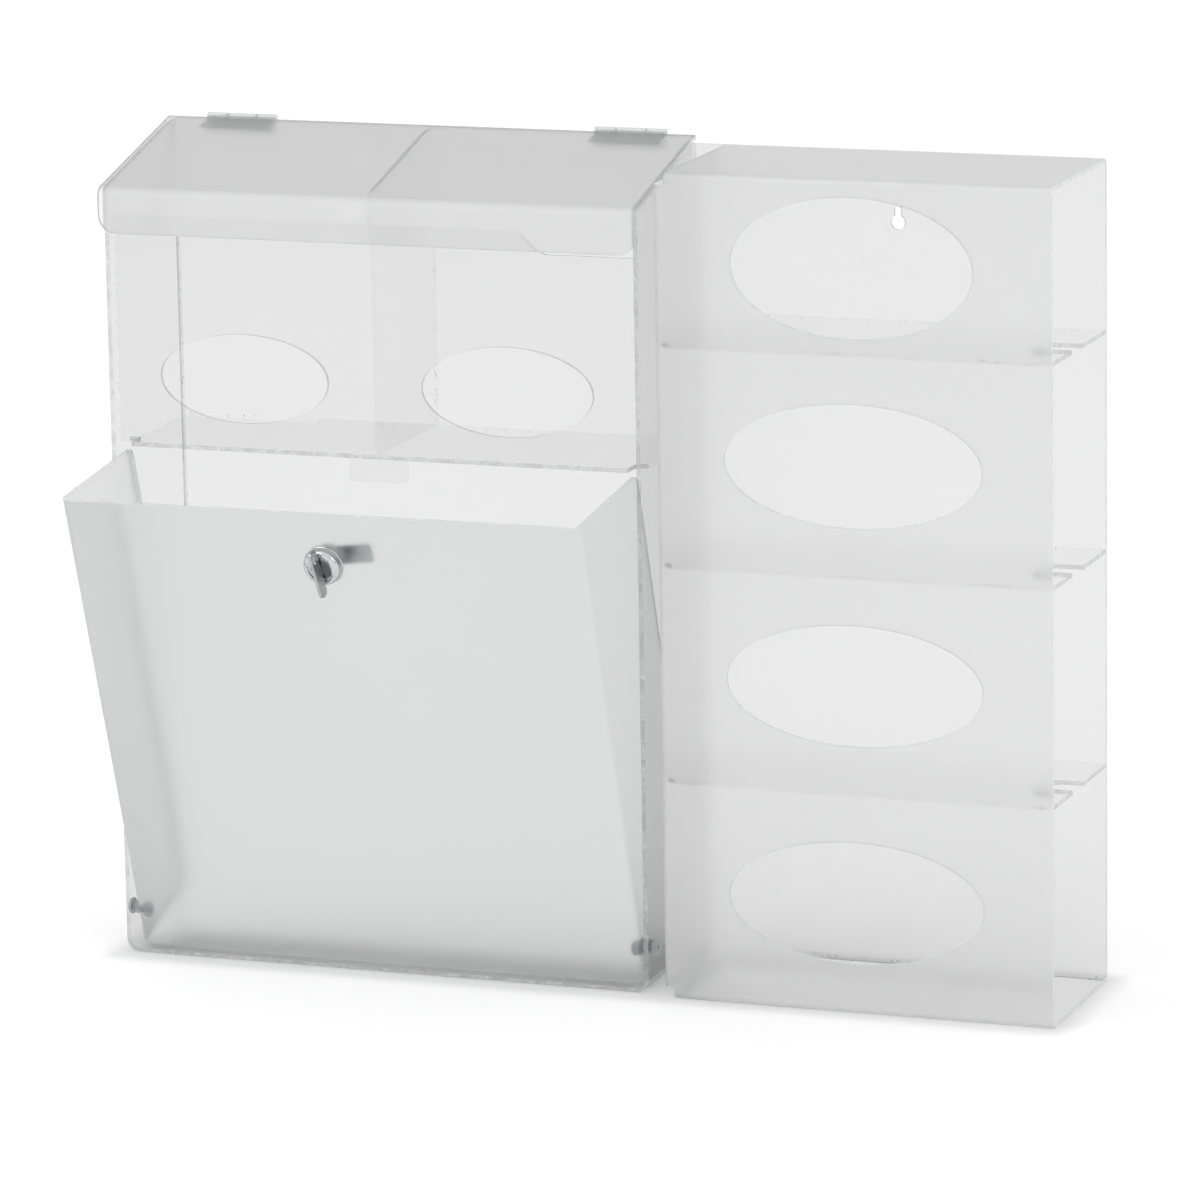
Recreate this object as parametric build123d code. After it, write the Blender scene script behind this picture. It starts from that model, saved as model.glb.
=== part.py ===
from build123d import *
import os
from math import cos, radians, sin, tan

# Frame: +X to the right, -Y towards the viewer, +Z up. All sizes in millimetres.
# X = 0 is the middle of the back sheet, Y = 0 the middle of its depth, Z = 0 the underside.

# Sheet and overall size
SHEET = 3.0
WIDTH = 656.0
HEIGHT = 550.0
DEPTH = 127.0
UNIT_GAP = 13.0
HOLDER_WIDTH = 267.0
BACK_CORNER_R = 3.0

# Planes that follow from them
LEFT = -WIDTH / 2
RIGHT = WIDTH / 2
FRONT = -DEPTH / 2
BACK = DEPTH / 2
INNER_BACK = BACK - SHEET
HOLDER_LEFT = RIGHT - HOLDER_WIDTH
BIN_RIGHT = HOLDER_LEFT - UNIT_GAP
BIN_MID = (LEFT + BIN_RIGHT) / 2
BIN_HALF = (BIN_RIGHT - LEFT) / 2
WALL_IN_LEFT = LEFT + SHEET
WALL_IN_RIGHT = BIN_RIGHT - SHEET

# Keyholes in the back sheet
KEYHOLE_X = WIDTH / 2 - 141.0
KEYHOLE_Z = HEIGHT - 47.2
KEYHOLE_R = 4.8
KEYHOLE_SLOT_R = 2.4
KEYHOLE_RISE = 8.2

# Fits
SEAT = 0.3
RUN = 0.06
MOVE = 0.3

# Bin unit
BIN_BEND_R = 10.0
BIN_FRONT = FRONT + 7.0
WALL_CORNER_R = 2.0
SHELF_TOP = HEIGHT - 198.0
SHELF_FRONT = BIN_FRONT + 6.1
NOTCH_WIDTH = 8.5
NOTCH_DEPTH = 18.0
NOTCH_R = 1.5

# Lid hinges
HINGE_Y = INNER_BACK - 0.1
HINGE_Z = HEIGHT + 6.0
HINGE_LENGTH = 49.5
HINGE_OFFSET = BIN_HALF - 48.5
HINGE_SHIFT = 3.0
BARREL_R = 3.0
PIN_R = 1.1
LEAF = 1.5
KNUCKLE = 14.0
LEAF_REACH = 17.0

# Lid: its outer face slopes from just over the hinge axis down to the front bend
LID_SLOPE = 14.66
LID_OVER_AXIS = 1.17
LID_FRONT = FRONT - 1.0
LID_LIP = 29.5
LID_FRONT_Z = HINGE_Z + LID_OVER_AXIS - (HINGE_Y - LID_FRONT) * tan(radians(LID_SLOPE))
LID_LIP_Z = LID_FRONT_Z - LID_LIP
LID_OVERHANG = 1.0
LID_BEND_R = 8.0
LID_CORNER_R = 12.0

# Upper space
HAND_OVAL_W = 120.0
HAND_OVAL_H = 60.0
HAND_OVAL_RISE = 46.3
HAND_OVAL_Z = SHELF_TOP + HAND_OVAL_RISE
PANEL_LAP = 10.0
PANEL_HIGH_Z = LID_LIP_Z + PANEL_LAP
PANEL_SHORT = 4.3
PANEL_LOW_Z = LID_LIP_Z - PANEL_SHORT
PANEL_STEP_X = 65.5
PANEL_STEP_R = 10.0

# Door, drawn closed and then swung out by OPEN about the pivot
OPEN = 18.4
DOOR_FRONT = BIN_FRONT + 2.5
PIVOT_Y = DOOR_FRONT + 10.0
PIVOT_Z = 29.0
DOOR_BOTTOM = 5.1
DOOR_BEND_R = 5.0
DOOR_SIDE_GAP = 3.85
WING_BACK = INNER_BACK - 4.5
WING_BOTTOM = DOOR_BOTTOM + 2.9
WING_DROP = 21.7
WING_TOP_BACK = SHELF_TOP - WING_DROP
WING_CORNER_R = 6.0
DOOR_CORNER = 6.0
PIVOT_R = 2.5
PIVOT_HEAD_R = 5.6
PIVOT_HEAD = 2.5
PIVOT_NUT = 4.0

# Cam lock in the door
LOCK_DROP = 37.0
LOCK_Z = SHELF_TOP - LOCK_DROP
CORE_TURN = 7.0
BARREL_LOCK_R = 9.5
BEZEL_R = 12.9
BEZEL_OUT = 5.8
DISH_R = 9.2
DISH = 0.9
DIMPLES = ((-10.3, 3.2, 0.7), (-9.7, 1.2, 0.5))
WASHER_R = 13.6
WASHER = 1.2
LOCK_NUT_R = 12.5
LOCK_NUT = 3.6
PLUG_R = 7.3
PLUG_SINK = 0.5
CAM = 2.4
CAM_DEPTH = 16.0
CAM_Y = DOOR_FRONT + CAM_DEPTH
CAM_REACH = 29.5
CAM_WIDTH = 13.0
CAM_SQUARE = 6.0
TAB_WIDTH = 39.0
TAB_HEIGHT = 15.5
TAB_THICK = 9.5
KEY_THICK = 2.0
KEY_HEIGHT = 7.8
BOW_HEIGHT = 33.5
BOW_DEPTH = 9.0
BOW_CORNER_R = 3.6
BOW_GAP = 1.0

# Glove box holder
HOLDER_BEND_R = 4.5
RELIEF_X = 7.5
RELIEF_Z = 8.0
HOLDER_SHELF_TOPS = {"lower": 0.27 * HEIGHT, "middle": 0.5318 * HEIGHT, "upper": 0.7964 * HEIGHT}
HOLDER_OVAL_W = 174.0
HOLDER_OVAL_SHARE = 0.572
TOP_OVAL_W = 163.0
TOP_OVAL_SHARE = 0.844
SHELF_CORNER = 6.0
FINGER_WIDTH = 25.0
FINGER_DEPTH = 25.0
FINGER_Y = -5.0


def slab(x0, x1, y0, y1, z0, z1):
    """Box between two opposite corners."""
    return Pos((x0 + x1) / 2, (y0 + y1) / 2, (z0 + z1) / 2) * Box(x1 - x0, y1 - y0, z1 - z0)


def cut_xz(sketch, y0, y1):
    """Sketch in X and Z made solid from y0 to y1."""
    return Pos(0, y0, 0) * extrude(Plane.XZ * sketch, y1 - y0, dir=(0, 1, 0))


def cut_yz(sketch, x0, x1):
    """Sketch in Y and Z made solid from x0 to x1."""
    return Pos(x0, 0, 0) * extrude(Plane.YZ * sketch, x1 - x0, dir=(1, 0, 0))


def cut_xy(sketch, z0, z1):
    """Sketch in X and Y made solid from z0 to z1."""
    return Pos(0, 0, z0) * extrude(Plane.XY * sketch, z1 - z0, dir=(0, 0, 1))


def bent_strip(points, radius, side=Side.LEFT):
    """Section of a sheet bent along its outer face, with the sheet lying on one side of the line."""
    outer = FilletPolyline(*points, radius=radius)
    return make_face(offset(outer, amount=SHEET, side=side))


def rod_x(x0, x1, y, z, radius):
    """Round rod along X."""
    return cut_yz(Pos(y, z) * Circle(radius), x0, x1)


def rod_y(y0, y1, x, z, radius):
    """Round rod along Y."""
    return cut_xz(Pos(x, z) * Circle(radius), y0, y1)


def lid_outer_z(y):
    """Height of the closed lid's outer face."""
    return LID_FRONT_Z + (y - LID_FRONT) * tan(radians(LID_SLOPE))


def under_lid_z(y):
    """Height of an edge that the closed lid rests over."""
    return lid_outer_z(y) - (SHEET + SEAT) / cos(radians(LID_SLOPE))


def under_lid_outline(front, bottom):
    """Outline in Y and Z of an upright sheet whose top follows the lid down from the back sheet's top."""
    flat_y = front + (HEIGHT - under_lid_z(front)) / tan(radians(LID_SLOPE))
    return Polygon(
        (front, bottom),
        (INNER_BACK, bottom),
        (INNER_BACK, HEIGHT),
        (flat_y, HEIGHT),
        (front, under_lid_z(front)),
        align=None,
    )


def make_back_panel():
    outline = Pos(0, HEIGHT / 2) * RectangleRounded(WIDTH, HEIGHT, BACK_CORNER_R)
    for x in (-KEYHOLE_X, KEYHOLE_X):
        outline -= Pos(x, KEYHOLE_Z) * Circle(KEYHOLE_R)
        outline -= Pos(x, KEYHOLE_Z + KEYHOLE_RISE / 2) * Rectangle(2 * KEYHOLE_SLOT_R, KEYHOLE_RISE)
        outline -= Pos(x, KEYHOLE_Z + KEYHOLE_RISE) * Circle(KEYHOLE_SLOT_R)
    return cut_xz(outline, INNER_BACK, BACK)


def make_bin_shell():
    section = bent_strip(
        [(LEFT, HEIGHT), (LEFT, 0), (BIN_RIGHT, 0), (BIN_RIGHT, HEIGHT)], BIN_BEND_R
    )
    shell = cut_xz(section, BIN_FRONT, INNER_BACK)
    keep = fillet(under_lid_outline(BIN_FRONT, 0).vertices().sort_by(Axis.X)[:2], WALL_CORNER_R)
    shell &= cut_yz(keep, LEFT, BIN_RIGHT)
    shell -= rod_x(LEFT, BIN_RIGHT, PIVOT_Y, PIVOT_Z, PIVOT_R + RUN)
    return shell


def make_upper_front_panel():
    step = WALL_IN_RIGHT - PANEL_STEP_X
    rise = PANEL_HIGH_Z - PANEL_LOW_Z
    outline = Polygon(
        (WALL_IN_LEFT, SHELF_TOP),
        (WALL_IN_RIGHT, SHELF_TOP),
        (WALL_IN_RIGHT, PANEL_LOW_Z),
        (step, PANEL_LOW_Z),
        (step - rise, PANEL_HIGH_Z),
        (WALL_IN_LEFT, PANEL_HIGH_Z),
        align=None,
    )
    bends = [v for v in outline.vertices() if step - rise - 1 < v.X < step + 1]
    outline = fillet(bends, PANEL_STEP_R)
    for x in ((WALL_IN_LEFT + BIN_MID - SHEET / 2) / 2, (WALL_IN_RIGHT + BIN_MID + SHEET / 2) / 2):
        outline -= Pos(x, HAND_OVAL_Z) * Ellipse(HAND_OVAL_W / 2, HAND_OVAL_H / 2)
    return cut_xz(outline, SHELF_FRONT, SHELF_FRONT + SHEET)


def make_bin_shelf():
    outline = Polygon(
        (WALL_IN_LEFT, INNER_BACK),
        (WALL_IN_LEFT, SHELF_FRONT + NOTCH_DEPTH),
        (WALL_IN_LEFT + NOTCH_WIDTH, SHELF_FRONT + NOTCH_DEPTH),
        (WALL_IN_LEFT + NOTCH_WIDTH, SHELF_FRONT),
        (WALL_IN_RIGHT - NOTCH_WIDTH, SHELF_FRONT),
        (WALL_IN_RIGHT - NOTCH_WIDTH, SHELF_FRONT + NOTCH_DEPTH),
        (WALL_IN_RIGHT, SHELF_FRONT + NOTCH_DEPTH),
        (WALL_IN_RIGHT, INNER_BACK),
        align=None,
    )
    inner = [
        v for v in outline.vertices()
        if abs(abs(v.X - BIN_MID) - (BIN_HALF - SHEET - NOTCH_WIDTH)) < 0.01
    ]
    return cut_xy(fillet(inner, NOTCH_R), SHELF_TOP - SHEET, SHELF_TOP)


def make_divider():
    outline = under_lid_outline(SHELF_FRONT + SHEET, SHELF_TOP)
    return cut_yz(outline, BIN_MID - SHEET / 2, BIN_MID + SHEET / 2)


def make_strike_tab():
    top = SHELF_TOP - SHEET
    outline = Polygon(
        (SHELF_FRONT + 0.4, top),
        (SHELF_FRONT + 0.4, top - TAB_HEIGHT),
        (SHELF_FRONT + 0.4 + TAB_THICK, top - TAB_HEIGHT),
        (SHELF_FRONT + 0.4 + TAB_THICK, top),
        align=None,
    )
    lower = outline.vertices().sort_by(Axis.Y)[:2]
    return cut_yz(fillet(lower, 0.8), BIN_MID - TAB_WIDTH / 2, BIN_MID + TAB_WIDTH / 2)


def make_lid():
    rear_u = (HINGE_Y - LID_FRONT) / cos(radians(LID_SLOPE)) + rear_shift()
    rear = (
        LID_FRONT + rear_u * cos(radians(LID_SLOPE)),
        LID_FRONT_Z + rear_u * sin(radians(LID_SLOPE)),
    )
    section = bent_strip([(LID_FRONT, LID_LIP_Z), (LID_FRONT, LID_FRONT_Z), rear], LID_BEND_R, Side.RIGHT)
    lid = cut_yz(section, LEFT - LID_OVERHANG, BIN_RIGHT + LID_OVERHANG)
    corners = lid.edges().filter_by(Axis.Y).filter_by(
        lambda e: e.center().Z < LID_LIP_Z + 1
    )
    return fillet(corners, LID_CORNER_R)


def rear_shift():
    """Distance along the slope from the foot of the hinge axis to the lid's rear edge."""
    drop = (lid_outer_z(HINGE_Y) - HINGE_Z) * sin(radians(LID_SLOPE))
    return -(BARREL_R + MOVE) - drop


def slope_frame(u, v):
    """Point at u along the lid's slope and v below its underside, seen from the hinge axis."""
    a = radians(LID_SLOPE)
    above = (lid_outer_z(HINGE_Y) - HINGE_Z) * cos(a) - SHEET
    return (HINGE_Y + u * cos(a) + (v - above) * sin(a), HINGE_Z + u * sin(a) - (v - above) * cos(a))


def make_lid_leaf(x):
    """Lid half of one hinge: a leaf under the lid and the middle knuckle."""
    half = HINGE_LENGTH / 2
    inner = half - KNUCKLE - MOVE
    back = -(BARREL_R + MOVE)
    leaf = Polygon(
        slope_frame(-LEAF_REACH, 0),
        slope_frame(back, 0),
        slope_frame(back, LEAF),
        slope_frame(-LEAF_REACH, LEAF),
        align=None,
    )
    tongue = Polygon(
        slope_frame(back, 0),
        slope_frame(0, 0),
        slope_frame(0, LEAF),
        slope_frame(back, LEAF),
        align=None,
    )
    solid = cut_yz(leaf, x - half, x + half)
    solid += cut_yz(tongue, x - inner, x + inner)
    solid += rod_x(x - inner, x + inner, HINGE_Y, HINGE_Z, BARREL_R)
    return solid - rod_x(x - inner, x + inner, HINGE_Y, HINGE_Z, PIN_R + RUN)


def make_body_leaf(x):
    """Back sheet half of one hinge: a leaf on the sheet's face and the two outer knuckles."""
    half = HINGE_LENGTH / 2
    inner = half - KNUCKLE
    solid = slab(x - half, x + half, INNER_BACK - LEAF, INNER_BACK, HINGE_Z - LEAF_REACH - 4, HINGE_Z)
    solid -= slab(x - inner, x + inner, INNER_BACK - LEAF, INNER_BACK, HINGE_Z - 4.6, HINGE_Z)
    for start in (x - half, x + inner):
        solid += rod_x(start, start + KNUCKLE, HINGE_Y, HINGE_Z, BARREL_R)
    return solid - rod_x(x - half, x + half, HINGE_Y, HINGE_Z, PIN_R + RUN)


def make_hinge_pin(x):
    return rod_x(x - HINGE_LENGTH / 2, x + HINGE_LENGTH / 2, HINGE_Y, HINGE_Z, PIN_R)


def swing(shape):
    """Closed door position to the open pose it is stored in."""
    return Pos(0, PIVOT_Y, PIVOT_Z) * Rot(OPEN, 0, 0) * Pos(0, -PIVOT_Y, -PIVOT_Z) * shape


def turned(shape):
    """Lock core with its cam level, turned to where the stored pose has it, in the closed door."""
    return Pos(BIN_MID, 0, LOCK_Z) * Rot(0, -CORE_TURN, 0) * Pos(-BIN_MID, 0, -LOCK_Z) * shape


def make_door():
    x0 = WALL_IN_LEFT + DOOR_SIDE_GAP
    x1 = WALL_IN_RIGHT - DOOR_SIDE_GAP
    section = bent_strip(
        [(x0, WING_BACK), (x0, DOOR_FRONT), (x1, DOOR_FRONT), (x1, WING_BACK)], DOOR_BEND_R
    )
    door = cut_xy(section, DOOR_BOTTOM, SHELF_TOP)
    bend_back = DOOR_FRONT + DOOR_BEND_R
    side = Polygon(
        (DOOR_FRONT, DOOR_BOTTOM),
        (bend_back, DOOR_BOTTOM),
        (bend_back, WING_BOTTOM),
        (WING_BACK, WING_BOTTOM),
        (WING_BACK, WING_TOP_BACK),
        (bend_back, SHELF_TOP),
        (DOOR_FRONT, SHELF_TOP),
        align=None,
    )
    rear = side.vertices().sort_by(Axis.X)[-2:]
    door &= cut_yz(fillet(rear, WING_CORNER_R), x0, x1)
    for x, inward in ((x0, 1), (x1, -1)):
        corner = Polygon(
            (x, DOOR_BOTTOM),
            (x + inward * DOOR_CORNER, DOOR_BOTTOM),
            (x, WING_BOTTOM),
            align=None,
        )
        door -= cut_xz(corner, DOOR_FRONT, bend_back)
    door -= rod_x(x0, x1, PIVOT_Y, PIVOT_Z, PIVOT_R + RUN)
    door -= rod_y(DOOR_FRONT, DOOR_FRONT + SHEET, BIN_MID, LOCK_Z, BARREL_LOCK_R + RUN)
    return swing(door)


def pivot_side(side):
    """Wall face, wing outer face and wing inner face on one side, as X values."""
    wall = BIN_MID + side * BIN_HALF
    wing = BIN_MID + side * (BIN_HALF - SHEET - DOOR_SIDE_GAP)
    return wall, wing, wing - side * SHEET


def make_pivot_screw(side):
    wall, wing, inner = pivot_side(side)
    end = inner - side * (MOVE + PIVOT_NUT + 0.8)
    shank = rod_x(min(wall, end), max(wall, end), PIVOT_Y, PIVOT_Z, PIVOT_R)
    head = rod_x(0, PIVOT_HEAD, PIVOT_Y, PIVOT_Z, PIVOT_HEAD_R)
    rim = head.edges().filter_by(GeomType.CIRCLE).sort_by(Axis.X)[-1]
    head = fillet(rim, PIVOT_HEAD * 0.8)
    socket = Pos(PIVOT_Y, PIVOT_Z) * RegularPolygon(1.75, 6)
    head -= cut_yz(socket, PIVOT_HEAD - 1.4, PIVOT_HEAD)
    if side < 0:
        head = mirror(head, Plane.YZ)
    return shank + Pos(wall, 0, 0) * head


def make_pivot_spacer(side):
    wall, wing, inner = pivot_side(side)
    face = wall - side * SHEET
    near = wing + side * MOVE
    ring = rod_x(min(near, face), max(near, face), PIVOT_Y, PIVOT_Z, PIVOT_HEAD_R - 0.6)
    return ring - rod_x(min(near, face), max(near, face), PIVOT_Y, PIVOT_Z, PIVOT_R + RUN)


def make_pivot_nut(side):
    wall, wing, inner = pivot_side(side)
    near = inner - side * MOVE
    far = near - side * PIVOT_NUT
    nut = rod_x(min(near, far), max(near, far), PIVOT_Y, PIVOT_Z, PIVOT_HEAD_R)
    nut = chamfer(nut.edges().filter_by(GeomType.CIRCLE), 0.6)
    return nut - rod_x(min(near, far), max(near, far), PIVOT_Y, PIVOT_Z, PIVOT_R + RUN / 3)


def make_lock_washer():
    face = DOOR_FRONT
    ring = rod_y(face - WASHER, face, BIN_MID, LOCK_Z, WASHER_R)
    ring = chamfer(ring.edges().filter_by(GeomType.CIRCLE).sort_by(Axis.Y)[0], 0.4)
    ring -= rod_y(face - WASHER, face, BIN_MID, LOCK_Z, BARREL_LOCK_R + RUN)
    return swing(ring)


def make_lock_body():
    back = CAM_Y - 0.4
    bezel_back = DOOR_FRONT - WASHER
    bezel_front = bezel_back - BEZEL_OUT
    body = rod_y(bezel_front, bezel_back, BIN_MID, LOCK_Z, BEZEL_R)
    body = fillet(body.edges().filter_by(GeomType.CIRCLE).sort_by(Axis.Y)[0], BEZEL_OUT * 0.62)
    body -= rod_y(bezel_front, bezel_front + DISH, BIN_MID, LOCK_Z, DISH_R)
    for x, z, radius in DIMPLES:
        body -= rod_y(bezel_front, bezel_front + DISH, BIN_MID + x, LOCK_Z + z, radius)
    body += rod_y(bezel_back, back, BIN_MID, LOCK_Z, BARREL_LOCK_R)
    body -= rod_y(bezel_front, back, BIN_MID, LOCK_Z, PLUG_R + RUN)
    return swing(body)


def make_lock_nut():
    face = DOOR_FRONT + SHEET
    nut = cut_xz(Pos(BIN_MID, LOCK_Z) * RegularPolygon(LOCK_NUT_R, 6), face, face + LOCK_NUT)
    nut -= rod_y(face, face + LOCK_NUT, BIN_MID, LOCK_Z, BARREL_LOCK_R + RUN / 3)
    return swing(nut)


def plug_front():
    """Front face of the plug in the closed door, as a Y value."""
    return DOOR_FRONT - WASHER - BEZEL_OUT + PLUG_SINK


def make_lock_plug():
    front = plug_front()
    plug = rod_y(front, CAM_Y, BIN_MID, LOCK_Z, PLUG_R)
    plug = chamfer(plug.edges().filter_by(GeomType.CIRCLE).sort_by(Axis.Y)[0], 0.4)
    tail = Pos(BIN_MID, LOCK_Z) * Rectangle(CAM_SQUARE, CAM_SQUARE)
    plug += cut_xz(tail, CAM_Y, CAM_Y + CAM)
    plug -= rod_y(CAM_Y + CAM - 8.0, CAM_Y + CAM, BIN_MID, LOCK_Z, 1.5 + RUN / 3)
    keyway = Pos(BIN_MID, LOCK_Z) * Rectangle(KEY_THICK + 0.4, KEY_HEIGHT + 0.6)
    plug -= cut_xz(keyway, front, front + 11.0)
    return swing(turned(plug))


def make_cam():
    plate = Pos(BIN_MID, LOCK_Z) * Circle(8.2)
    arm = Polygon(
        (BIN_MID, LOCK_Z - CAM_WIDTH / 2),
        (BIN_MID + CAM_REACH, LOCK_Z - CAM_WIDTH / 2),
        (BIN_MID + CAM_REACH, LOCK_Z + CAM_WIDTH / 2),
        (BIN_MID, LOCK_Z + CAM_WIDTH / 2),
        align=None,
    )
    plate += fillet(arm.vertices().sort_by(Axis.X)[-2:], 2.0)
    plate -= Pos(BIN_MID, LOCK_Z) * Rectangle(CAM_SQUARE + 0.1, CAM_SQUARE + 0.1)
    return swing(turned(cut_xz(plate, CAM_Y, CAM_Y + CAM)))


def make_cam_screw():
    seat = CAM_Y + CAM
    screw = rod_y(seat, seat + 2.6, BIN_MID, LOCK_Z, 5.0)
    screw = fillet(screw.edges().filter_by(GeomType.CIRCLE).sort_by(Axis.Y)[-1], 1.6)
    screw -= slab(BIN_MID - 5, BIN_MID + 5, seat + 1.4, seat + 2.6, LOCK_Z - 0.6, LOCK_Z + 0.6)
    screw += rod_y(seat - 7.0, seat, BIN_MID, LOCK_Z, 1.5)
    return swing(turned(screw))


def make_key():
    front = plug_front()
    rest = DOOR_FRONT - WASHER - BEZEL_OUT - BOW_GAP
    bow = RectangleRounded(BOW_DEPTH, BOW_HEIGHT, BOW_CORNER_R)
    bow -= Pos(-0.8, BOW_HEIGHT / 2 - 6.5) * Ellipse(1.7, 2.8)
    top = LOCK_Z + KEY_HEIGHT / 2
    bottom = LOCK_Z - KEY_HEIGHT / 2
    blade = Polygon(
        (rest - BOW_DEPTH / 2, bottom),
        (front + 8.0, bottom),
        (front + 10.6, bottom + 2.7),
        (front + 10.6, top - 1.9),
        (front + 9.0, top),
        (rest - BOW_DEPTH / 2, top),
        align=None,
    )
    outline = Pos(rest - BOW_DEPTH / 2, LOCK_Z) * bow + blade
    half = KEY_THICK / 2
    return swing(turned(cut_yz(outline, BIN_MID - half, BIN_MID + half)))


def make_holder_shell():
    fold = HOLDER_LEFT + RELIEF_X
    upright = bent_strip(
        [(INNER_BACK, 0), (FRONT, 0), (FRONT, HEIGHT), (INNER_BACK, HEIGHT)], HOLDER_BEND_R, Side.RIGHT
    )
    shell = cut_yz(upright, fold, RIGHT)
    level = bent_strip([(HOLDER_LEFT, INNER_BACK), (HOLDER_LEFT, FRONT), (fold, FRONT)], HOLDER_BEND_R)
    shell += cut_xy(level, RELIEF_Z, HEIGHT - RELIEF_Z)
    middle = HOLDER_LEFT + HOLDER_WIDTH / 2
    floors = [SHEET] + list(HOLDER_SHELF_TOPS.values())
    ceilings = [z - SHEET for z in HOLDER_SHELF_TOPS.values()] + [HEIGHT - SHEET]
    for floor, ceiling in zip(floors, ceilings):
        top = ceiling == ceilings[-1]
        width = TOP_OVAL_W if top else HOLDER_OVAL_W
        height = (ceiling - floor) * (TOP_OVAL_SHARE if top else HOLDER_OVAL_SHARE)
        oval = Pos(middle, (floor + ceiling) / 2) * Ellipse(width / 2, height / 2)
        shell -= cut_xz(oval, FRONT, FRONT + SHEET)
    return shell


def make_holder_shelf(top):
    left = HOLDER_LEFT + SHEET
    front = FRONT + SHEET
    outline = Polygon(
        (left, INNER_BACK),
        (left, front + SHELF_CORNER),
        (left + SHELF_CORNER, front),
        (RIGHT, front),
        (RIGHT, INNER_BACK),
        align=None,
    )
    notch = Pos(RIGHT - FINGER_DEPTH + FINGER_WIDTH / 2, FINGER_Y) * Circle(FINGER_WIDTH / 2)
    reach = FINGER_DEPTH - FINGER_WIDTH / 2
    notch += Pos(RIGHT - reach / 2, FINGER_Y) * Rectangle(reach, FINGER_WIDTH)
    return cut_xy(outline - notch, top - SHEET, top)


PIECES = {
    "back_panel": make_back_panel(),
    "bin_shell": make_bin_shell(),
    "upper_front_panel": make_upper_front_panel(),
    "bin_shelf": make_bin_shelf(),
    "divider": make_divider(),
    "strike_tab": make_strike_tab(),
    "holder_shell": make_holder_shell(),
    "lid": make_lid(),
    "door": make_door(),
    "lock_washer": make_lock_washer(),
    "lock_body": make_lock_body(),
    "lock_nut": make_lock_nut(),
    "lock_plug": make_lock_plug(),
    "cam": make_cam(),
    "cam_screw": make_cam_screw(),
    "key": make_key(),
}

for tier, shelf_top in HOLDER_SHELF_TOPS.items():
    PIECES["holder_shelf_" + tier] = make_holder_shelf(shelf_top)

for name, sign in (("left", -1), ("right", 1)):
    hinge_x = BIN_MID + HINGE_SHIFT + sign * HINGE_OFFSET
    PIECES["hinge_body_leaf_" + name] = make_body_leaf(hinge_x)
    PIECES["hinge_lid_leaf_" + name] = make_lid_leaf(hinge_x)
    PIECES["hinge_pin_" + name] = make_hinge_pin(hinge_x)
    PIECES["pivot_screw_" + name] = make_pivot_screw(sign)
    PIECES["pivot_spacer_" + name] = make_pivot_spacer(sign)
    PIECES["pivot_nut_" + name] = make_pivot_nut(sign)

os.makedirs("parts", exist_ok=True)
for node, piece in PIECES.items():
    solids = piece.solids()
    if len(solids) != 1:
        raise ValueError(node + " is not one solid")
    solid = solids[0]
    solid.label = node
    export_step(solid, os.path.join("parts", node + ".step"))
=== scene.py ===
import math

import bmesh
import bpy
from bpy.props import FloatProperty, FloatVectorProperty, PointerProperty
from mathutils import Matrix, Vector
from mathutils.bvhtree import BVHTree


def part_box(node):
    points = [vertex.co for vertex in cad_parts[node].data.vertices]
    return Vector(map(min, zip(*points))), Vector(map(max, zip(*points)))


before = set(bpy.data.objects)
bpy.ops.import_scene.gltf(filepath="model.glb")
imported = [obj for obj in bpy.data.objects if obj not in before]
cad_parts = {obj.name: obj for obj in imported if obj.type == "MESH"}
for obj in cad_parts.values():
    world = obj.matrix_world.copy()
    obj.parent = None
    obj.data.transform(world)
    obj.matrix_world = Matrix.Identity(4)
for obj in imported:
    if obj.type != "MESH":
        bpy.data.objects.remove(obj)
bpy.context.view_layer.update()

bl_info = {
    "name": "Isolation station looks",
    "version": (1, 0, 0),
    "blender": (4, 5, 0),
    "location": "View3D > Sidebar > Station",
    "description": "Sheet materials, fittings, light and camera for the isolation station",
    "category": "Object",
}

MM = 0.001
SHEET = 3.0 * MM
THICKEST = 1.3 * SHEET
NEAR = 0.02 * MM
FAR = 2.0
PLASTIC_IOR = 1.49
FROST_IOR = 1.3

FOOT_LOW = (-0.328, -0.0635, 0.0)
FOOT_HIGH = (0.328, 0.0635, 0.0)
FLOOR_HALF = 12.0
FLOOR_DROP = 0.2 * MM
# Reach of the painted contact shadow on the floor around the station's footprint.
PAINTED_SHADOW_REACH = 22.0 * MM
LIGHT_AIM = Vector((0.0, 0.0, 0.25))
FILL_SHARE = 0.35
CARD_HALF = 0.5
CARD_SCALE = (0.7, 1.9, 1.0)

CAMERA_AZIMUTH = math.radians(20.278)
CAMERA_ELEVATION = math.radians(12.285)
CAMERA_ROLL = math.radians(-0.971)
CAMERA_TARGET = Vector((0.0208, -0.0635, 0.2663))
CAMERA_DISTANCE = 4.512
CAMERA_SENSOR = 36.0

SHELF_NODES = (
    "bin_shelf", "divider", "holder_shelf_lower", "holder_shelf_middle", "holder_shelf_upper",
)
FROSTED_NODES = ("lid", "door", "holder_shell")
SHEET_NODES = ("back_panel", "bin_shell", "upper_front_panel") + SHELF_NODES + FROSTED_NODES
SIDES = ("left", "right")


# Materials


def new_material(name):
    """An empty node material with its output."""
    made = bpy.data.materials.new(name)
    made.use_nodes = True
    made.node_tree.nodes.clear()
    out = made.node_tree.nodes.new("ShaderNodeOutputMaterial")
    out.location = (700, 0)
    return made, made.node_tree.nodes, made.node_tree.links, out


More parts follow.
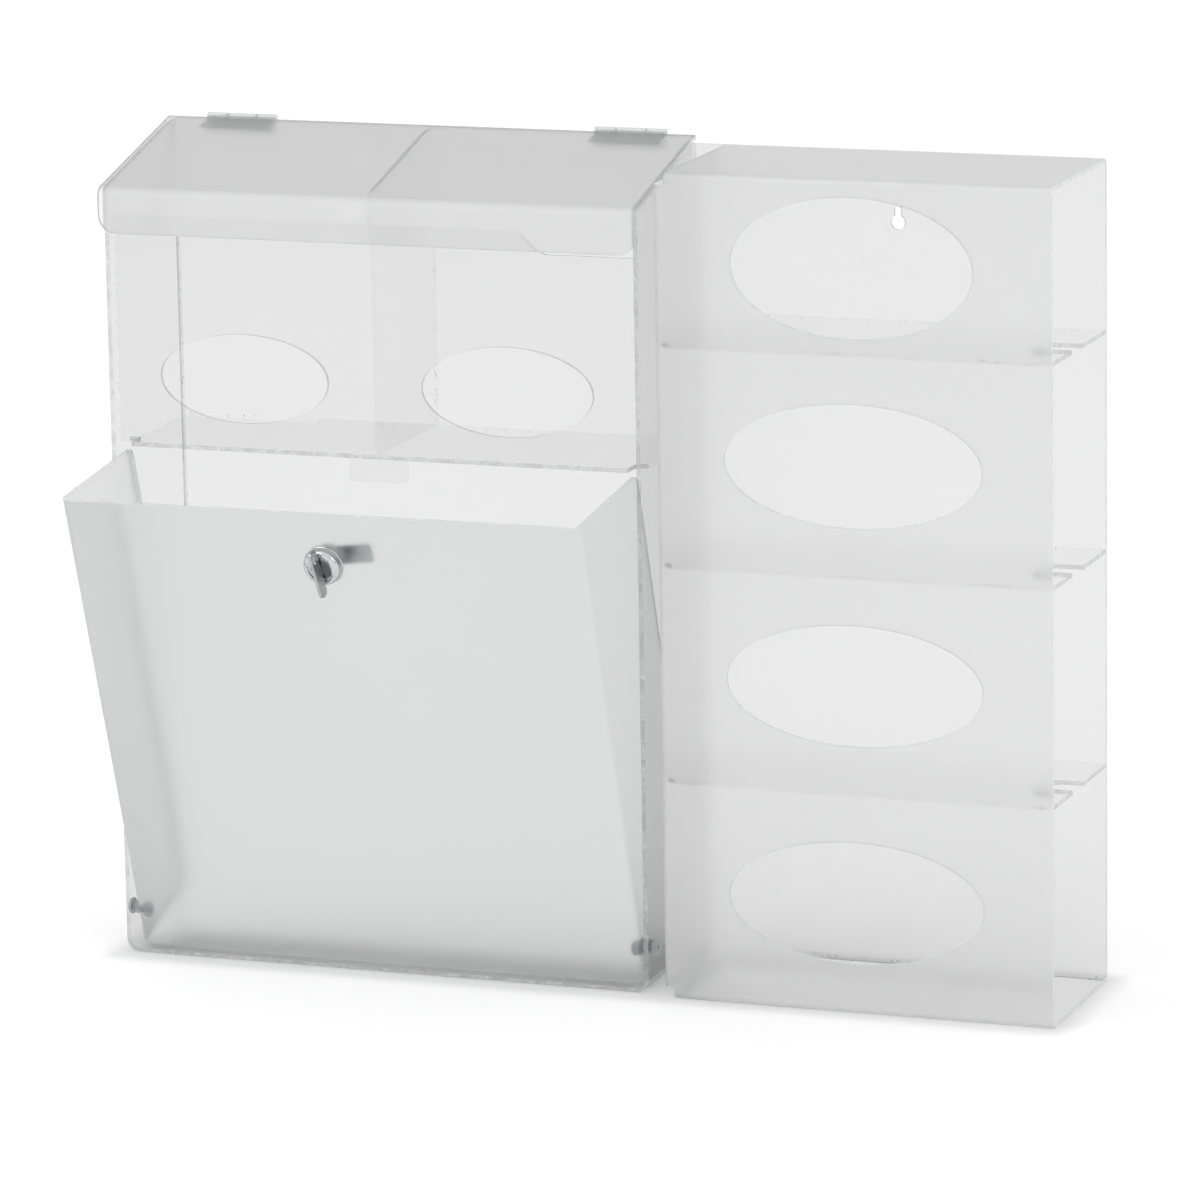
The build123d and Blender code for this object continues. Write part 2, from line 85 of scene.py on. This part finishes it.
def group_tree(name, sockets_in, sockets_out):
    """A new node group with float, colour or vector sockets."""
    tree = bpy.data.node_groups.new(name, "ShaderNodeTree")
    for label, kind, value in sockets_in:
        socket = tree.interface.new_socket(label, in_out="INPUT", socket_type=kind)
        if value is not None:
            socket.default_value = value
    for label, kind in sockets_out:
        tree.interface.new_socket(label, in_out="OUTPUT", socket_type=kind)
    entry = tree.nodes.new("NodeGroupInput")
    entry.location = (-900, 0)
    leave = tree.nodes.new("NodeGroupOutput")
    leave.location = (700, 0)
    return tree, entry, leave


def math_node(tree, operation, first, second=None, clamp=False):
    """A math node whose inputs are sockets or numbers."""
    node = tree.nodes.new("ShaderNodeMath")
    node.operation = operation
    node.use_clamp = clamp
    for index, value in enumerate((first, second)):
        if value is None:
            continue
        if isinstance(value, (int, float)):
            node.inputs[index].default_value = value
        else:
            tree.links.new(value, node.inputs[index])
    return node.outputs[0]


def noise_node(tree, vector, scale, detail=3.0, roughness=0.5, stretch=None):
    """Noise over a position, stretched along an axis where a scale vector is given."""
    if stretch is not None:
        mapping = tree.nodes.new("ShaderNodeMapping")
        mapping.inputs["Scale"].default_value = stretch
        tree.links.new(vector, mapping.inputs["Vector"])
        vector = mapping.outputs["Vector"]
    node = tree.nodes.new("ShaderNodeTexNoise")
    node.inputs["Scale"].default_value = scale
    node.inputs["Detail"].default_value = detail
    node.inputs["Roughness"].default_value = roughness
    tree.links.new(vector, node.inputs["Vector"])
    return node.outputs["Fac"]


def ramp(tree, value, low, high, to_low, to_high):
    """A value mapped from one range to another and clamped."""
    node = tree.nodes.new("ShaderNodeMapRange")
    for label, number in (("From Min", low), ("From Max", high), ("To Min", to_low), ("To Max", to_high)):
        node.inputs[label].default_value = number
    tree.links.new(value, node.inputs["Value"])
    return node.outputs["Result"]


def handling_group():
    """Marks of handling on smooth sheet: faint smudges, hairline scratches and a slight waviness."""
    tree, entry, leave = group_tree(
        "Handling marks",
        [("Vector", "NodeSocketVector", None), ("Base", "NodeSocketFloat", 0.05),
         ("Amount", "NodeSocketFloat", 0.1)],
        [("Roughness", "NodeSocketFloat"), ("Height", "NodeSocketFloat")],
    )
    vector = entry.outputs["Vector"]
    smudge = ramp(tree, noise_node(tree, vector, scale=9.0, detail=2.0, roughness=0.6), 0.48, 0.72, 0.0, 1.0)
    scratch_a = noise_node(
        tree, vector, scale=6.0, detail=1.0, roughness=0.4, stretch=(2.0, 2.0, 160.0),
    )
    scratch_b = noise_node(
        tree, vector, scale=5.0, detail=1.0, roughness=0.4, stretch=(190.0, 2.0, 3.0),
    )
    lines = math_node(
        tree, "MAXIMUM",
        ramp(tree, scratch_a, 0.70, 0.76, 0.0, 1.0),
        ramp(tree, scratch_b, 0.71, 0.77, 0.0, 1.0),
    )
    marks = math_node(tree, "ADD", math_node(tree, "MULTIPLY", smudge, 0.5), lines, True)
    spread = math_node(tree, "MULTIPLY", marks, entry.outputs["Amount"])
    tree.links.new(math_node(tree, "ADD", entry.outputs["Base"], spread), leave.inputs["Roughness"])
    tree.links.new(noise_node(tree, vector, scale=14.0, detail=0.0, roughness=0.3), leave.inputs["Height"])
    return tree


def frost_group():
    """Fine grain of a frosted face with soft clouds in its roughness."""
    tree, entry, leave = group_tree(
        "Frost grain",
        [("Vector", "NodeSocketVector", None), ("Base", "NodeSocketFloat", 0.4)],
        [("Roughness", "NodeSocketFloat"), ("Height", "NodeSocketFloat"), ("Cloud", "NodeSocketFloat")],
    )
    vector = entry.outputs["Vector"]
    grain = noise_node(tree, vector, scale=2600.0, detail=1.0, roughness=0.6)
    cloud = noise_node(tree, vector, scale=7.0, detail=2.0, roughness=0.55)
    spread = ramp(tree, cloud, 0.3, 0.7, -0.03, 0.03)
    tree.links.new(math_node(tree, "ADD", entry.outputs["Base"], spread), leave.inputs["Roughness"])
    tree.links.new(grain, leave.inputs["Height"])
    tree.links.new(cloud, leave.inputs["Cloud"])
    return tree


def use_group(nodes, links, tree, values):
    """A group node with its inputs set from numbers or sockets."""
    node = nodes.new("ShaderNodeGroup")
    node.node_tree = tree
    for label, value in values.items():
        if isinstance(value, (int, float)):
            node.inputs[label].default_value = value
        else:
            links.new(value, node.inputs[label])
    return node


def colour_mix(nodes, first, second=None):
    """A node that mixes two colours; without a second one its B socket is left to be linked."""
    node = nodes.new("ShaderNodeMix")
    node.data_type = "RGBA"
    node.inputs["A"].default_value = (*first, 1.0)
    if second is not None:
        node.inputs["B"].default_value = (*second, 1.0)
    return node


def slant_weight(nodes, blend):
    """0 where a face is seen square on, rising to 1 where it is looked along."""
    node = nodes.new("ShaderNodeLayerWeight")
    node.inputs["Blend"].default_value = blend
    return node.outputs["Facing"]


def object_coords(nodes):
    """The place on the piece, in its own frame."""
    node = nodes.new("ShaderNodeTexCoord")
    node.location = (-900, 200)
    return node.outputs["Object"]


def bump(nodes, links, height, strength, distance):
    """A normal tilted by a height."""
    node = nodes.new("ShaderNodeBump")
    node.inputs["Strength"].default_value = strength
    node.inputs["Distance"].default_value = distance
    links.new(height, node.inputs["Height"])
    return node.outputs["Normal"]


def principled(nodes, links, out):
    """The material's own shader, linked to its output."""
    node = nodes.new("ShaderNodeBsdfPrincipled")
    node.location = (400, 0)
    links.new(node.outputs["BSDF"], out.inputs["Surface"])
    return node


def clear_material(name, tint, haze, marks):
    """Thin clear sheet: seen straight through, darker where it is looked along."""
    made, nodes, links, out = new_material(name)
    shader = principled(nodes, links, out)
    shader.inputs["IOR"].default_value = PLASTIC_IOR
    worn = use_group(nodes, links, marks, {"Vector": object_coords(nodes), "Base": 0.04, "Amount": 0.12})
    links.new(worn.outputs["Roughness"], shader.inputs["Roughness"])
    links.new(bump(nodes, links, worn.outputs["Height"], 0.05, 0.0004), shader.inputs["Normal"])
    shader.inputs["Base Color"].default_value = (*tint, 1.0)
    slant = slant_weight(nodes, 0.5)
    tree = made.node_tree
    edge = math_node(tree, "POWER", slant, 10.0)
    links.new(ramp(tree, edge, 0.0, 1.0, haze, haze + 0.3), shader.inputs["Alpha"])
    return made


def frosted_material(name, tint, roughness, frost, painted_slant_shade):
    """Frosted sheet: light comes through it scattered, and its colour is darkened where the sheet is seen at
    a slant, painted shade that makes its top faces come out darker.
    """
    made, nodes, links, out = new_material(name)
    shader = principled(nodes, links, out)
    shader.inputs["IOR"].default_value = FROST_IOR
    shader.inputs["Transmission Weight"].default_value = 0.96
    coords = object_coords(nodes)
    grain = use_group(nodes, links, frost, {"Vector": coords, "Base": roughness})
    links.new(grain.outputs["Roughness"], shader.inputs["Roughness"])
    links.new(bump(nodes, links, grain.outputs["Height"], 0.12, 0.0001), shader.inputs["Normal"])
    tree = made.node_tree
    slant = slant_weight(nodes, 0.5)
    # Painted shade: the colour is darkened where the sheet is seen at a slant, down to the given slant
    # factor; the cloud ramp is the sheet's own uneven tone.
    cloud_tone_and_painted_shade = math_node(
        tree, "MULTIPLY",
        ramp(tree, grain.outputs["Cloud"], 0.3, 0.7, 0.985, 1.015),
        ramp(tree, slant, 0.1, 0.55, 1.0, painted_slant_shade),
    )
    mixed = colour_mix(nodes, tint)
    mixed.blend_type = "MULTIPLY"
    mixed.inputs["Factor"].default_value = 1.0
    links.new(cloud_tone_and_painted_shade, mixed.inputs["B"])
    links.new(mixed.outputs["Result"], shader.inputs["Base Color"])
    return made


def edge_material(name, dark, light, alpha):
    """Polished cut edge, part see-through: its dark and pale streaks along the cut are painted shade and
    painted light of the light that runs along inside it.
    """
    made, nodes, links, out = new_material(name)
    shader = principled(nodes, links, out)
    tree = made.node_tree
    coords = object_coords(nodes)
    # Painted light and shade: the edge's colour runs in streaks between the given dark and pale colours.
    streaks = noise_node(
        tree, coords, scale=3.0, detail=2.0, roughness=0.6, stretch=(40.0, 240.0, 40.0),
    )
    mixed = colour_mix(nodes, dark, light)
    links.new(ramp(tree, streaks, 0.3, 0.7, 0.0, 1.0), mixed.inputs["Factor"])
    links.new(mixed.outputs["Result"], shader.inputs["Base Color"])
    links.new(ramp(tree, streaks, 0.3, 0.7, 0.12, 0.3), shader.inputs["Roughness"])
    links.new(bump(nodes, links, streaks, 0.2, 0.0001), shader.inputs["Normal"])
    shader.inputs["IOR"].default_value = PLASTIC_IOR
    slant = slant_weight(nodes, 0.3)
    links.new(ramp(tree, slant, 0.0, 1.0, alpha, min(1.0, alpha + 0.3)),
              shader.inputs["Alpha"])
    return made


def joint_material():
    """Cemented joint between two sheets, nearly unseen, with specks of trapped air."""
    made, nodes, links, out = new_material("Cemented joint")
    shader = principled(nodes, links, out)
    shader.inputs["Base Color"].default_value = (0.34, 0.35, 0.355, 1.0)
    shader.inputs["Roughness"].default_value = 0.3
    tree = made.node_tree
    specks = noise_node(tree, object_coords(nodes), scale=420.0, detail=1.0, roughness=0.5)
    links.new(ramp(tree, specks, 0.62, 0.72, 0.05, 0.4), shader.inputs["Alpha"])
    return made


def inner_frost_material():
    """Smooth inner face of a frosted sheet: the frost on the outer face does all the scattering."""
    made, nodes, links, out = new_material("Smooth inner face")
    shader = principled(nodes, links, out)
    shader.inputs["Base Color"].default_value = (0.9, 0.9, 0.9, 1.0)
    shader.inputs["Roughness"].default_value = 0.2
    shader.inputs["Alpha"].default_value = 0.0
    return made


def metal_material(name, colour, roughness, streak):
    """Plated metal with cloudy spots and fine marks along a stretch."""
    made, nodes, links, out = new_material(name)
    shader = principled(nodes, links, out)
    shader.inputs["Metallic"].default_value = 1.0
    tree = made.node_tree
    coords = object_coords(nodes)
    lines = noise_node(
        tree, coords, scale=4.0, detail=3.0, roughness=0.6, stretch=streak,
    )
    spots = noise_node(tree, coords, scale=220.0, detail=3.0, roughness=0.6)
    mixed = colour_mix(nodes, [c * 0.86 for c in colour], colour)
    links.new(ramp(tree, spots, 0.35, 0.6, 0.0, 1.0), mixed.inputs["Factor"])
    links.new(mixed.outputs["Result"], shader.inputs["Base Color"])
    links.new(ramp(tree, lines, 0.3, 0.7, roughness * 0.7, roughness * 1.4), shader.inputs["Roughness"])
    links.new(bump(nodes, links, lines, 0.08, 0.0001), shader.inputs["Normal"])
    return made


def moulded_material(name, tint, alpha):
    """Small clear moulded plastic with flow lines."""
    made, nodes, links, out = new_material(name)
    shader = principled(nodes, links, out)
    shader.inputs["IOR"].default_value = PLASTIC_IOR
    shader.inputs["Base Color"].default_value = (*tint, 1.0)
    tree = made.node_tree
    coords = object_coords(nodes)
    flow = noise_node(
        tree, coords, scale=60.0, detail=3.0, roughness=0.5, stretch=(0.3, 1.0, 1.0),
    )
    links.new(ramp(tree, flow, 0.3, 0.7, 0.1, 0.28), shader.inputs["Roughness"])
    links.new(bump(nodes, links, flow, 0.15, 0.0003), shader.inputs["Normal"])
    slant = slant_weight(nodes, 0.4)
    links.new(ramp(tree, slant, 0.0, 1.0, alpha, min(1.0, alpha + 0.45)),
              shader.inputs["Alpha"])
    return made


def footprint_distance(nodes, links):
    """How far a place on the floor lies from the station's footprint."""
    place = object_coords(nodes)
    for operation, value in (
        ("SUBTRACT", [(a + b) / 2 for a, b in zip(FOOT_LOW, FOOT_HIGH)]),
        ("ABSOLUTE", None),
        ("SUBTRACT", [(b - a) / 2 for a, b in zip(FOOT_LOW, FOOT_HIGH)]),
        ("MAXIMUM", (0.0, 0.0, 0.0)),
        ("MULTIPLY", (1.0, 1.0, 0.0)),
        ("LENGTH", None),
    ):
        node = nodes.new("ShaderNodeVectorMath")
        node.operation = operation
        links.new(place, node.inputs[0])
        if value is not None:
            node.inputs[1].default_value = value
        place = node.outputs["Value" if operation == "LENGTH" else "Vector"]
    return place


def seen_ray(tree):
    """1 for a ray from the camera, a mirror or a clear sheet, 0 for one that only carries light."""
    path = tree.nodes.new("ShaderNodeLightPath")
    return math_node(
        tree, "MAXIMUM", path.outputs["Is Camera Ray"],
        math_node(tree, "MAXIMUM", path.outputs["Is Glossy Ray"], path.outputs["Is Transmission Ray"]),
    )


# Mesh helpers


def search_tree(names):
    """One search tree over the meshes of several CAD nodes."""
    mesh = bmesh.new()
    for name in names:
        mesh.from_mesh(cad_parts[name].data)
    tree = BVHTree.FromBMesh(mesh)
    mesh.free()
    return tree


def box_middle(name):
    """The middle of a CAD node's box."""
    low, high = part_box(name)
    return (Vector(low) + Vector(high)) / 2


def face_kinds(name, middle=None):
    """What each face of a sheet is: "cut" edge, cut edge cemented to another sheet as "joint", or "face".

    With a middle, faces turned towards that point are "inner" ones.
    """
    own = search_tree([name])
    others = search_tree([other for other in SHEET_NODES if other != name])
    kinds = []
    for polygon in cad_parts[name].data.polygons:
        out = polygon.normal
        start = polygon.center - out * NEAR
        depth = own.ray_cast(start, -out, FAR)[3]
        if depth is None or depth > THICKEST:
            glued = others.ray_cast(start, out, 5.0 * NEAR)[3] is not None
            kinds.append("joint" if glued else "cut")
        elif middle is not None and out.dot(polygon.center - middle) < 0.0:
            kinds.append("inner")
        else:
            kinds.append("face")
    return kinds


def dress(name, *made):
    """Gives a CAD node its materials, and all its faces the first."""
    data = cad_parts[name].data
    data.materials.clear()
    for material in made:
        data.materials.append(material)
    for polygon in data.polygons:
        polygon.material_index = 0
    return data


def dress_sheet(name, made, middle=None):
    """Gives a sheet one material for its faces, its cut edges, its cemented edges and its inner faces."""
    order = list(made)
    data = dress(name, *made.values())
    for polygon, kind in zip(data.polygons, face_kinds(name, middle)):
        polygon.material_index = order.index(kind)


def stage_plane(name, half, made):
    """A flat square of the studio, which isn't part of the station."""
    mesh = bmesh.new()
    bmesh.ops.create_grid(mesh, x_segments=1, y_segments=1, size=half)
    data = bpy.data.meshes.new(name)
    mesh.to_mesh(data)
    mesh.free()
    data.materials.append(made)
    obj = bpy.data.objects.new(name, data)
    bpy.context.scene.collection.objects.link(obj)
    return obj


def library():
    """Every material, made once and found again by name."""
    if "Back sheet" in bpy.data.materials:
        return bpy.data.materials
    looks = bpy.context.scene.station_looks
    marks = handling_group()
    frost = frost_group()
    tint = tuple(looks.clear_tint)
    clear_material("Back sheet", tint, looks.back_haze, marks)
    clear_material("Clear sheet", tint, looks.clear_haze, marks)
    clear_material("Wall sheet", tint, looks.wall_haze, marks)
    clear_material("Shelf sheet", tint, looks.shelf_haze, marks)
    # The cut edges' dark and pale colours are painted shade and painted light.
    edge_material("Cut edge", tuple(looks.edge_painted_shade), tuple(looks.edge_painted_light), 0.42)
    edge_material("Frosted cut edge", (0.62, 0.63, 0.63), (0.82, 0.83, 0.83), 0.6)
    joint_material()
    inner_frost_material()
    # The last number is each piece's painted shade at a slant, darkest on the lid, whose top faces up.
    frosted_material("Lid frost", tuple(looks.lid_tint), looks.frost_roughness, frost, 0.66)
    frosted_material("Door frost", tuple(looks.door_tint), looks.frost_roughness, frost, 0.88)
    frosted_material("Holder frost", tuple(looks.holder_tint), looks.frost_roughness, frost, 0.70)
    metal_material("Lock chrome", (0.60, 0.605, 0.61), 0.08, (2.0, 30.0, 2.0))
    # The plug is the same chrome as the lock, its colour darkened as a painted dark reflection.
    metal_material("Plug chrome", (0.22, 0.225, 0.23), 0.10, (2.0, 30.0, 2.0))
    metal_material("Lock steel", (0.50, 0.51, 0.52), 0.26, (60.0, 2.0, 2.0))
    metal_material("Key steel", (0.46, 0.465, 0.47), 0.22, (2.0, 90.0, 4.0))
    moulded_material("Hinge plastic", (0.62, 0.63, 0.635), 0.22)
    moulded_material("Pivot plastic", (0.62, 0.64, 0.65), 0.45)
    return bpy.data.materials


# Settings


class StationLooks(bpy.types.PropertyGroup):
    """Colours and sheet looks."""

    clear_tint: FloatVectorProperty(
        name="Clear tint", description="Colour of the clear sheet's haze", subtype="COLOR",
        default=(0.35, 0.355, 0.355), min=0.0, max=1.0,
    )
    # Painted shade and painted light of the clear cut edges, in streaks along the cut.
    edge_painted_shade: FloatVectorProperty(
        name="Edge dark", description="Darker streaks of a clear cut edge", subtype="COLOR",
        default=(0.30, 0.305, 0.31), min=0.0, max=1.0,
    )
    edge_painted_light: FloatVectorProperty(
        name="Edge light", description="Paler streaks of a clear cut edge", subtype="COLOR",
        default=(0.66, 0.665, 0.665), min=0.0, max=1.0,
    )
    clear_haze: FloatProperty(
        name="Clear haze", description="How much a clear sheet hides, face on", subtype="FACTOR",
        default=0.035, min=0.0, max=1.0,
    )
    wall_haze: FloatProperty(
        name="Wall haze", description="How much the bin's walls hide, face on", subtype="FACTOR",
        default=0.18, min=0.0, max=1.0,
    )
    shelf_haze: FloatProperty(
        name="Shelf haze", description="How much a shelf or the divider hides, face on", subtype="FACTOR",
        default=0.008, min=0.0, max=1.0,
    )
    back_haze: FloatProperty(
        name="Back haze", description="How much the back sheet hides, face on", subtype="FACTOR",
        default=0.165, min=0.0, max=1.0,
    )
    lid_tint: FloatVectorProperty(
        name="Lid tint", description="Colour of the frosted lid", subtype="COLOR",
        default=(0.825, 0.83, 0.825), min=0.0, max=1.0,
    )
    door_tint: FloatVectorProperty(
        name="Door tint", description="Colour of the frosted door", subtype="COLOR",
        default=(0.80, 0.815, 0.805), min=0.0, max=1.0,
    )
    holder_tint: FloatVectorProperty(
        name="Holder tint", description="Colour of the frosted glove box holder", subtype="COLOR",
        default=(0.85, 0.855, 0.85), min=0.0, max=1.0,
    )
    frost_roughness: FloatProperty(
        name="Frost", description="Roughness of the frosted faces", subtype="FACTOR",
        default=0.42, min=0.0, max=1.0,
    )


class StationStudio(bpy.types.PropertyGroup):
    """Light and camera."""

    room_light: FloatProperty(
        name="Room light", description="Strength of the even light from all round", default=0.9, min=0.0,
    )
    floor_lift: FloatProperty(
        name="Floor lift", description="Light added to the floor as it is seen", default=0.2, min=0.0,
    )
    key_light: FloatProperty(
        name="Key light", description="Power of the large soft light", unit="POWER", default=14.0, min=0.0,
    )
    lens: FloatProperty(
        name="Lens", description="Focal length", unit="CAMERA", default=207.24, min=1.0,
    )


# Operators


class STATION_OT_sheets(bpy.types.Operator):
    """Dress the clear and frosted sheets, cut edges apart from faces"""

    bl_idname = "station.sheets"
    bl_label = "Sheets"

    def execute(self, context):
        looks = library()
        for names, body in (
            (("back_panel",), "Back sheet"), (("bin_shell",), "Wall sheet"),
            (("upper_front_panel",), "Clear sheet"), (SHELF_NODES, "Shelf sheet"),
        ):
            for name in names:
                dress_sheet(name, {
                    "face": looks[body], "cut": looks["Cut edge"], "joint": looks["Cemented joint"],
                })
        bin_middle = box_middle("bin_shell")
        middles = (bin_middle, bin_middle, box_middle("holder_shell"))
        for name, body, middle in zip(FROSTED_NODES, ("Lid frost", "Door frost", "Holder frost"), middles):
            dress_sheet(name, {
                "face": looks[body], "cut": looks["Frosted cut edge"], "joint": looks["Cemented joint"],
                "inner": looks["Smooth inner face"],
            }, middle)
        dress("strike_tab", looks["Clear sheet"])
        return {"FINISHED"}


class STATION_OT_fittings(bpy.types.Operator):
    """Dress the hinges and the door's pivots"""

    bl_idname = "station.fittings"
    bl_label = "Hinges and pivots"

    def execute(self, context):
        looks = library()
        for side in SIDES:
            for part in ("hinge_body_leaf_", "hinge_lid_leaf_", "hinge_pin_"):
                dress(part + side, looks["Hinge plastic"])
            for part in ("pivot_screw_", "pivot_spacer_", "pivot_nut_"):
                dress(part + side, looks["Pivot plastic"])
        return {"FINISHED"}


class STATION_OT_lock(bpy.types.Operator):
    """Dress the cam lock and its key"""

    bl_idname = "station.lock"
    bl_label = "Lock and key"

    def execute(self, context):
        looks = library()
        for node, made in {
            "lock_washer": "Lock chrome", "lock_body": "Lock chrome", "lock_plug": "Plug chrome",
            "lock_nut": "Lock steel", "cam": "Lock steel", "cam_screw": "Lock steel", "key": "Key steel",
        }.items():
            dress(node, looks[made])
        return {"FINISHED"}


class STATION_OT_stage(bpy.types.Operator):
    """Floor, light, background and camera"""

    bl_idname = "station.stage"
    bl_label = "Studio"

    def execute(self, context):
        scene = context.scene
        studio = scene.station_studio
        scene.view_settings.view_transform = "Standard"

        made, nodes, links, out = new_material("Pale floor")
        shader = principled(nodes, links, out)
        shader.inputs["Base Color"].default_value = (0.93, 0.93, 0.93, 1.0)
        shader.inputs["Specular IOR Level"].default_value = 0.0
        shader.inputs["Roughness"].default_value = 0.9
        shader.inputs["Emission Strength"].default_value = 1.0
        # The glow added to the floor fades to nothing towards the station's footprint: a painted contact
        # shadow around its foot.
        away = footprint_distance(nodes, links)
        lift = ramp(made.node_tree, away, 0.0, PAINTED_SHADOW_REACH, 0.0, studio.floor_lift)
        lift.node.interpolation_type = "SMOOTHSTEP"
        links.new(
            math_node(made.node_tree, "MULTIPLY", seen_ray(made.node_tree), lift),
            shader.inputs["Emission Color"],
        )
        floor = stage_plane("floor", FLOOR_HALF, made)
        floor.location = (0.0, 0.0, -FLOOR_DROP)

        world = bpy.data.worlds.new("Studio")
        scene.world = world
        world.use_nodes = True
        tree = world.node_tree
        tree.nodes.clear()
        out = tree.nodes.new("ShaderNodeOutputWorld")
        room = tree.nodes.new("ShaderNodeBackground")
        room.inputs["Color"].default_value = (1.0, 1.0, 1.0, 1.0)
        room.inputs["Strength"].default_value = studio.room_light
        white = tree.nodes.new("ShaderNodeBackground")
        white.inputs["Color"].default_value = (1.0, 1.0, 1.0, 1.0)
        white.inputs["Strength"].default_value = 1.0
        mix = tree.nodes.new("ShaderNodeMixShader")
        tree.links.new(seen_ray(tree), mix.inputs[0])
        tree.links.new(room.outputs[0], mix.inputs[1])
        tree.links.new(white.outputs[0], mix.inputs[2])
        tree.links.new(mix.outputs[0], out.inputs["Surface"])

        for name, place, size, power in (
            ("key_light", (-1.6, -2.4, 2.6), 2.2, studio.key_light),
            ("fill_light", (2.4, -1.6, 1.6), 1.6, studio.key_light * FILL_SHARE),
        ):
            lamp = bpy.data.lights.new(name, "AREA")
            lamp.size = size
            lamp.energy = power
            obj = bpy.data.objects.new(name, lamp)
            scene.collection.objects.link(obj)
            obj.location = place
            aim = LIGHT_AIM - Vector(place)
            obj.rotation_mode = "QUATERNION"
            obj.rotation_quaternion = aim.to_track_quat("-Z", "Y")

        card, nodes, links, out = new_material("Black card")
        shader = principled(nodes, links, out)
        shader.inputs["Base Color"].default_value = (0.015, 0.015, 0.016, 1.0)
        shader.inputs["Roughness"].default_value = 0.8
        for name, place, turn in (
            ("card_left", (-2.6, -2.2, 0.9), 50.0),
            ("card_right", (3.1, -1.6, 0.9), -60.0),
        ):
            obj = stage_plane(name, CARD_HALF, card)
            obj.scale = CARD_SCALE
            obj.rotation_euler = (math.radians(90.0), 0.0, math.radians(turn))
            obj.location = place

        camera = bpy.data.cameras.new("camera")
        camera.lens = studio.lens
        camera.sensor_width = CAMERA_SENSOR
        camera.clip_end = 100.0
        obj = bpy.data.objects.new("camera", camera)
        scene.collection.objects.link(obj)
        look = Vector((
            -math.sin(CAMERA_AZIMUTH) * math.cos(CAMERA_ELEVATION),
            math.cos(CAMERA_AZIMUTH) * math.cos(CAMERA_ELEVATION),
            -math.sin(CAMERA_ELEVATION),
        ))
        right = Vector((math.cos(CAMERA_AZIMUTH), math.sin(CAMERA_AZIMUTH), 0.0))
        up = right.cross(look)
        across = right * math.cos(CAMERA_ROLL) + up * math.sin(CAMERA_ROLL)
        above = up * math.cos(CAMERA_ROLL) - right * math.sin(CAMERA_ROLL)
        place = Matrix((across, above, -look)).transposed().to_4x4()
        place.translation = CAMERA_TARGET - look * CAMERA_DISTANCE
        obj.matrix_world = place
        scene.camera = obj
        return {"FINISHED"}


class STATION_PT_panel(bpy.types.Panel):
    """Lists the pieces and their settings"""

    bl_idname = "STATION_PT_panel"
    bl_label = "Isolation station"
    bl_space_type = "VIEW_3D"
    bl_region_type = "UI"
    bl_category = "Station"

    def draw(self, context):
        layout = self.layout
        for operator in OPERATORS:
            layout.operator(operator.bl_idname)
        for group in (context.scene.station_looks, context.scene.station_studio):
            box = layout.box()
            for name in group.__annotations__:
                box.prop(group, name)


OPERATORS = (
    STATION_OT_sheets,
    STATION_OT_fittings,
    STATION_OT_lock,
    STATION_OT_stage,
)
SETTINGS = (
    ("station_looks", StationLooks),
    ("station_studio", StationStudio),
)


def register():
    """Adds the settings, the operators and the panel."""
    for name, group in SETTINGS:
        bpy.utils.register_class(group)
        setattr(bpy.types.Scene, name, PointerProperty(type=group))
    for operator in OPERATORS:
        bpy.utils.register_class(operator)
    bpy.utils.register_class(STATION_PT_panel)


def unregister():
    """Takes out what register added."""
    bpy.utils.unregister_class(STATION_PT_panel)
    for operator in reversed(OPERATORS):
        bpy.utils.unregister_class(operator)
    for name, group in reversed(SETTINGS):
        delattr(bpy.types.Scene, name)
        bpy.utils.unregister_class(group)


def main():
    """Dresses the station and sets the stage."""
    register()
    bpy.ops.station.sheets()
    bpy.ops.station.fittings()
    bpy.ops.station.lock()
    bpy.ops.station.stage()


if __name__ == "__main__":
    main()
